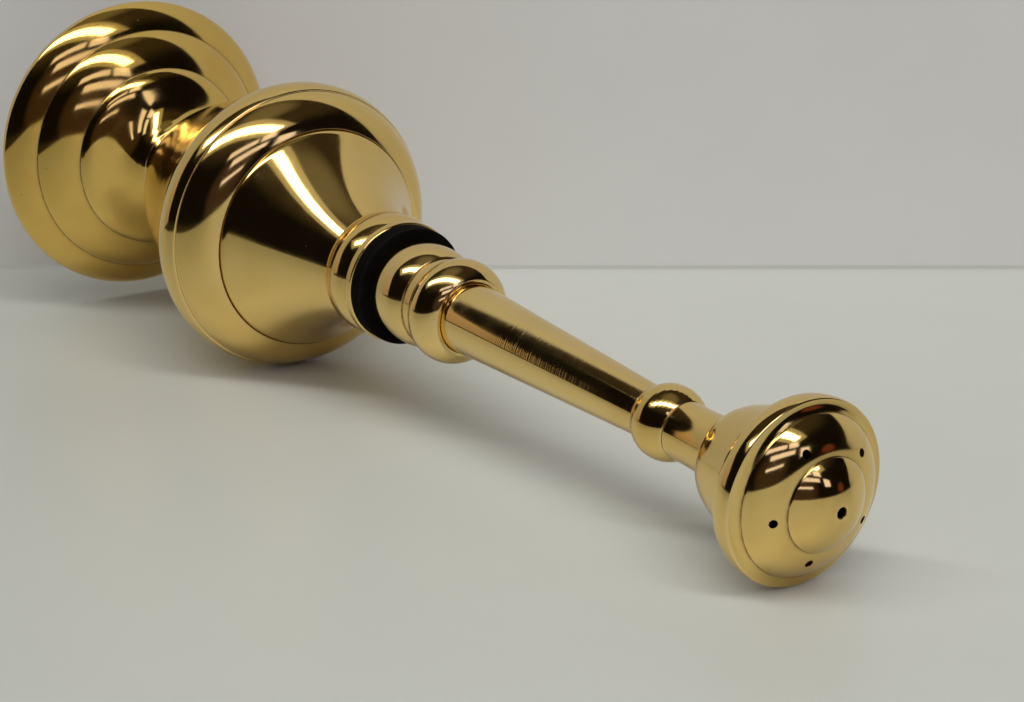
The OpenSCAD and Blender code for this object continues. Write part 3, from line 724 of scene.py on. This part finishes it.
def rose_drills(materials):
    """The drills of all the holes as one object, whose faces carry the bore's near-black material, a
    painted shade.
    """
    drills = bmesh.new()
    for i in range(ROSE_HOLES):
        add_drill(drills, ROSE_TURN + i * FULL_TURN / ROSE_HOLES)
    mesh = bpy.data.meshes.new("rose_drills")
    drills.to_mesh(mesh)
    drills.free()
    for material in materials:
        mesh.materials.append(material)
    for face in mesh.polygons:
        face.material_index = BORE_SHADE_INDEX
    made = bpy.data.objects.new("rose_drills", mesh)
    bpy.context.scene.collection.objects.link(made)
    return made


def drilled_rose():
    outline = Outline("rose_cap")
    mesh = turned_mesh("rose_cap", outline)
    set_inner(mesh)
    materials = (SPUN, INNER, BORE_SHADE)
    rose = piece("rose_cap", mesh, "polished_brass", *materials)
    drills = rose_drills(materials)
    cut = rose.modifiers.new("holes", "BOOLEAN")
    cut.object, cut.operation, cut.solver = drills, "DIFFERENCE", "EXACT"
    done = bpy.data.meshes.new_from_object(rose.evaluated_get(bpy.context.evaluated_depsgraph_get()))
    rose.modifiers.clear()
    rose.data = done
    bpy.data.objects.remove(drills)
    return rose, outline


def finish_rose(rose, outline):
    """Gives the drilled mesh the outline's own normals and layers again."""
    mesh = rose.data
    measures = outline.measures()
    normal = outline.normals()
    start = outline.points
    step = np.roll(start, -1, axis=0) - start
    square = (step ** 2).sum(axis=1) + TINY ** 2
    corners = corners_of(mesh)
    values = np.empty((len(corners), len(LAYERS)))
    smooth = np.empty((len(corners), 3))
    for v, (x, y, z) in enumerate(corners):
        radius = math.hypot(x, y)
        point = np.array((radius, z))
        share = np.clip(((point - start) * step).sum(axis=1) / square, 0, 1)
        gap = ((start + step * share[:, None] - point) ** 2).sum(axis=1)
        i = int(gap.argmin())
        k = (i + 1) % len(start)
        values[v] = [m[i] + (m[k] - m[i]) * share[i] if k else m[i] for m in measures]
        out, up = unit(normal[i] + (normal[k] - normal[i]) * share[i])
        smooth[v] = (out * x / max(radius, TINY), out * y / max(radius, TINY), up)
    for column, label in enumerate(LAYERS):
        layer = mesh.attributes.get(label) or mesh.attributes.new(label, "FLOAT", "POINT")
        layer.data.foreach_set("value", values[:, column].astype(np.float32))
    mesh.shade_smooth()
    loops = []
    for face in mesh.polygons:
        for loop in face.loop_indices:
            way = smooth[mesh.loops[loop].vertex_index]
            loops.append(tuple(way) if way @ np.array(face.normal) > ALIKE else tuple(face.normal))
    mesh.normals_split_custom_set(loops)


finish_rose(*drilled_rose())


# The nuts, which keep their CAD meshes

NUT_ROUND, NUT_STEPS = 0.25 * MM, 3     # rounding of a nut's edges
NUT_CORNER = math.radians(25)           # a sharper edge is rounded

for name in ("foot_nut", "bowl_nut"):
    nut = frame["nodes"][name]
    nut.data.materials.clear()
    nut.data.materials.append(FITTING)
    edges = nut.modifiers.new("edges", "BEVEL")
    edges.width, edges.segments, edges.angle_limit = NUT_ROUND, NUT_STEPS, NUT_CORNER


# The stage: the part stays upright, and the table is leant against its band and its rim

CAMERA_AT = Vector((0.278005, -0.166746, 0.560344))
AIM_AT = Vector((-0.0532, 0.0348, 0.1025))


def widest(node):
    """Radius and height of a turned node's widest circle."""
    return max((math.hypot(v.co.x, v.co.y), v.co.z) for v in frame["nodes"][node].data.vertices)


band_r, band_z = widest("equator_band")
rim_r, rim_z = widest("rose_cap")
lean = math.atan2(band_r - rim_r, rim_z - band_z)
UP = Vector((0, -math.cos(lean), -math.sin(lean)))
TABLE = UP.dot(Vector((0, band_r * math.cos(lean), band_z + band_r * math.sin(lean))))
LOOK = (AIM_AT - CAMERA_AT).normalized()
AWAY = (LOOK - LOOK.dot(UP) * UP).normalized()
RIGHT = AWAY.cross(UP)

REACH = 3.0                     # how far the stage goes on to the right, to the front and to the back
TABLE_LEFT = -0.30
TABLE_ROUGH, WALL_ROUGH = 0.38, 0.62
TABLE_FADE = (0.08, -0.10)      # places along RIGHT between which the painted shade to the left sets in
WALL_FADE = (-0.30, -0.55)
WALL = 0.0300                   # the wall behind the foot, along AWAY from the origin
WALL_FOOT, WALL_TOP = 0.001, 0.34
WALL_LEFT, WALL_LEFT_TOP = -0.95, 0.255
WALL_BEND = -0.21               # the wall's top edge falls to the left of this place
TABLE_TONE = (0.59, 0.605, 0.56, 1)
TABLE_TONE_DEEP = (0.57, 0.585, 0.54, 1)
# painted shade: the table darker to the left
TABLE_SHADE_LEFT = (0.435, 0.45, 0.41, 1)
WALL_TONE = (0.66, 0.66, 0.635, 1)
WALL_TONE_DEEP = (0.635, 0.63, 0.605, 1)
WALL_TONE_LEFT = (0.95, 0.73, 0.52, 1)


def spot(right, away, up):
    """A place by its distances along RIGHT, AWAY and UP."""
    return RIGHT * right + AWAY * away + UP * up


def sheet(name, rows, material):
    """A stage sheet through rows of points, with its front to the side that the order gives."""
    mesh = bpy.data.meshes.new(name)
    width = len(rows[0])
    faces = [(i * width + j, i * width + j + 1, (i + 1) * width + j + 1, (i + 1) * width + j)
             for i in range(len(rows) - 1) for j in range(width - 1)]
    mesh.from_pydata([point for row in rows for point in row], [], faces)
    mesh.materials.append(material)
    mesh.shade_smooth()
    made = bpy.data.objects.new(name, mesh)
    bpy.context.scene.collection.objects.link(made)


sheet("table", [[spot(right, away, TABLE) for right in (TABLE_LEFT, REACH)] for away in (-REACH, REACH)],
      stage_material("table_matt", TABLE_TONE, TABLE_TONE_DEEP, TABLE_SHADE_LEFT, TABLE_FADE, TABLE_ROUGH))
wall_edge = {WALL_LEFT: WALL_LEFT_TOP, WALL_BEND: WALL_TOP, REACH: WALL_TOP}
sheet("wall", [[spot(right, WALL, TABLE + WALL_FOOT) for right in wall_edge],
               [spot(right, WALL, TABLE + top) for right, top in wall_edge.items()]],
      stage_material("wall_matt", WALL_TONE, WALL_TONE_DEEP, WALL_TONE_LEFT, WALL_FADE, WALL_ROUGH))


# Lamps, whose light is the brightness that they show

CEILING = 2.0                   # height of the ceiling lamp above the table
TUBE_FROM, TUBE_TO = (-0.95, -0.02), (0.80, -0.86)  # its ends, right and away, per height
TUBE_WIDE = 0.19                # its width, per height
TUBE_COLOUR, TUBE_LIGHT = (1.0, 1.0, 0.97), 5.8
GLOW_WIDE = 0.46                # the lit ceiling round the lamp, per height
GLOW_OVER = 0.01                # its distance above the lamp
GLOW_COLOUR, GLOW_LIGHT = (1.0, 0.95, 0.80), 0.40
WINDOW = 2.4                    # distance of the window panes from the origin, on the camera's side
PANE_COLOUR, PANE_LIGHT = (1.05, 1.0, 1.45), 1.0
# Left, right, low and high edge of each pane, per distance
PANES = {
    "long": (-0.18, 0.50, 0.80, 0.97),
    "next": (0.57, 0.92, 0.77, 1.00),
    "wide": (0.98, 1.40, 0.38, 0.70),
    "middle": (0.04, 0.78, 0.53, 0.67),
    "thin": (-0.02, 0.46, 0.30, 0.36),
}
FILL_WIDE = 2.4
FILL_RIGHT, FILL_BACK, FILL_HIGH = 0.5, 1.6, 1.6    # place of the fill light
FILL_COLOUR, FILL_LIGHT = (1.0, 1.0, 0.98), 1.4


def placed(at, x_way, y_way, z_way):
    """The matrix that puts an object at a place with its axes along three directions."""
    return Matrix.Translation(at) @ Matrix((x_way, y_way, z_way)).transposed().to_4x4()


def lamp(name, at, across, shines, size, colour, light):
    """A soft box at a place, with its width along one direction, that shines in another."""
    wide, high = size
    data = bpy.data.lights.new(name, "AREA")
    data.shape, data.color = "RECTANGLE", colour
    data.size, data.size_y = wide, high
    data.energy = light * wide * high * math.pi
    back = -shines.normalized()
    side = (across - across.dot(back) * back).normalized()
    made = bpy.data.objects.new(name, data)
    made.matrix_world = placed(at, side, back.cross(side), back)
    made.visible_camera = False
    bpy.context.scene.collection.objects.link(made)
    return made


def overhead(right, away):
    """A place at the height of the ceiling lamp."""
    return spot(right * CEILING, away * CEILING, TABLE + CEILING)


tube_from, tube_to = overhead(*TUBE_FROM), overhead(*TUBE_TO)
tube_middle, tube = (tube_from + tube_to) / 2, tube_to - tube_from
lamp("ceiling_tube", tube_middle, tube, -UP, (tube.length, TUBE_WIDE * CEILING), TUBE_COLOUR, TUBE_LIGHT)
lamp("ceiling_glow", tube_middle + UP * GLOW_OVER, tube, -UP,
     (tube.length + GLOW_WIDE * CEILING, GLOW_WIDE * CEILING), GLOW_COLOUR, GLOW_LIGHT)
for name, (left, right, low, high) in PANES.items():
    pane_at = spot((left + right) / 2 * WINDOW, -WINDOW, TABLE + (low + high) / 2 * WINDOW)
    pane_size = (right - left) * WINDOW, (high - low) * WINDOW
    lamp("pane_" + name, pane_at, RIGHT, AWAY, pane_size, PANE_COLOUR, PANE_LIGHT)
fill = lamp("soft_fill", spot(FILL_RIGHT, -FILL_BACK, TABLE + FILL_HIGH), RIGHT, AWAY - UP,
            (FILL_WIDE, FILL_WIDE), FILL_COLOUR, FILL_LIGHT)
fill.visible_glossy = False


# The room that the brass mirrors, in ranges of the cosine to a direction

LOW_DARK = (0.006, 0.005, 0.004, 1)
HIGH_BROWN, HIGH_RANGE = (0.038, 0.030, 0.021, 1), (0.55, 0.80)
TOP_GREY, TOP_RANGE = (0.16, 0.15, 0.12, 1), (0.90, 0.99)
BACK_BROWN, BACK_RANGE = (0.045, 0.030, 0.022, 1), (0.86, 0.97)
BACK_AZIMUTH, BACK_ELEVATION = math.radians(175), math.radians(12)
SIDE_RED, SIDE_RANGE = (0.12, 0.035, 0.025, 1), (0.992, 0.998)
SIDE_AZIMUTH, SIDE_ELEVATION = math.radians(106), math.radians(7)
AHEAD_PALE, AHEAD_RANGE = (0.34, 0.335, 0.32, 1), (0.55, 0.80)
FLOOR_BROWN, FLOOR_RANGE = (0.03, 0.025, 0.018, 1), (0.0, -0.06)


def bearing(azimuth, elevation):
    """A direction by its angle from AWAY to RIGHT and its angle above the table."""
    level = AWAY * math.cos(azimuth) + RIGHT * math.sin(azimuth)
    return level * math.cos(elevation) + UP * math.sin(elevation)


def build_room():
    world = bpy.data.worlds.new("room")
    bpy.context.scene.world = world
    world.use_nodes = True
    world.node_tree.nodes.clear()
    nodes = Nodes(world.node_tree)
    facing = nodes.add("ShaderNodeTexCoord").outputs["Generated"]
    height = nodes.along(facing, UP)
    behind = nodes.along(facing, bearing(BACK_AZIMUTH, BACK_ELEVATION))
    beside = nodes.along(facing, bearing(SIDE_AZIMUTH, SIDE_ELEVATION))
    ahead = nodes.along(facing, AWAY)
    colour = nodes.mix(nodes.span(height, HIGH_RANGE), LOW_DARK, HIGH_BROWN)
    colour = nodes.mix(nodes.span(height, TOP_RANGE), colour, TOP_GREY)
    colour = nodes.mix(nodes.span(behind, BACK_RANGE), colour, BACK_BROWN)
    colour = nodes.mix(nodes.span(beside, SIDE_RANGE), colour, SIDE_RED)
    colour = nodes.mix(nodes.span(ahead, AHEAD_RANGE), colour, AHEAD_PALE)
    colour = nodes.mix(nodes.span(height, FLOOR_RANGE), colour, FLOOR_BROWN)
    shader = nodes.add("ShaderNodeBackground", Color=colour, Strength=1.0)
    nodes.add("ShaderNodeOutputWorld", Surface=shader.outputs[0])


build_room()


# The camera

LENS, SENSOR = 84.375, 36       # in millimetres, as Blender takes them
NEAR = 0.01

camera = bpy.data.objects.new("camera", bpy.data.cameras.new("camera"))
camera.data.lens, camera.data.sensor_width, camera.data.clip_start = LENS, SENSOR, NEAR
across = LOOK.cross(UP).normalized()
camera.matrix_world = placed(CAMERA_AT, across, across.cross(LOOK), -LOOK)
bpy.context.scene.collection.objects.link(camera)
bpy.context.scene.camera = camera
bpy.context.scene.view_settings.view_transform = "Standard"
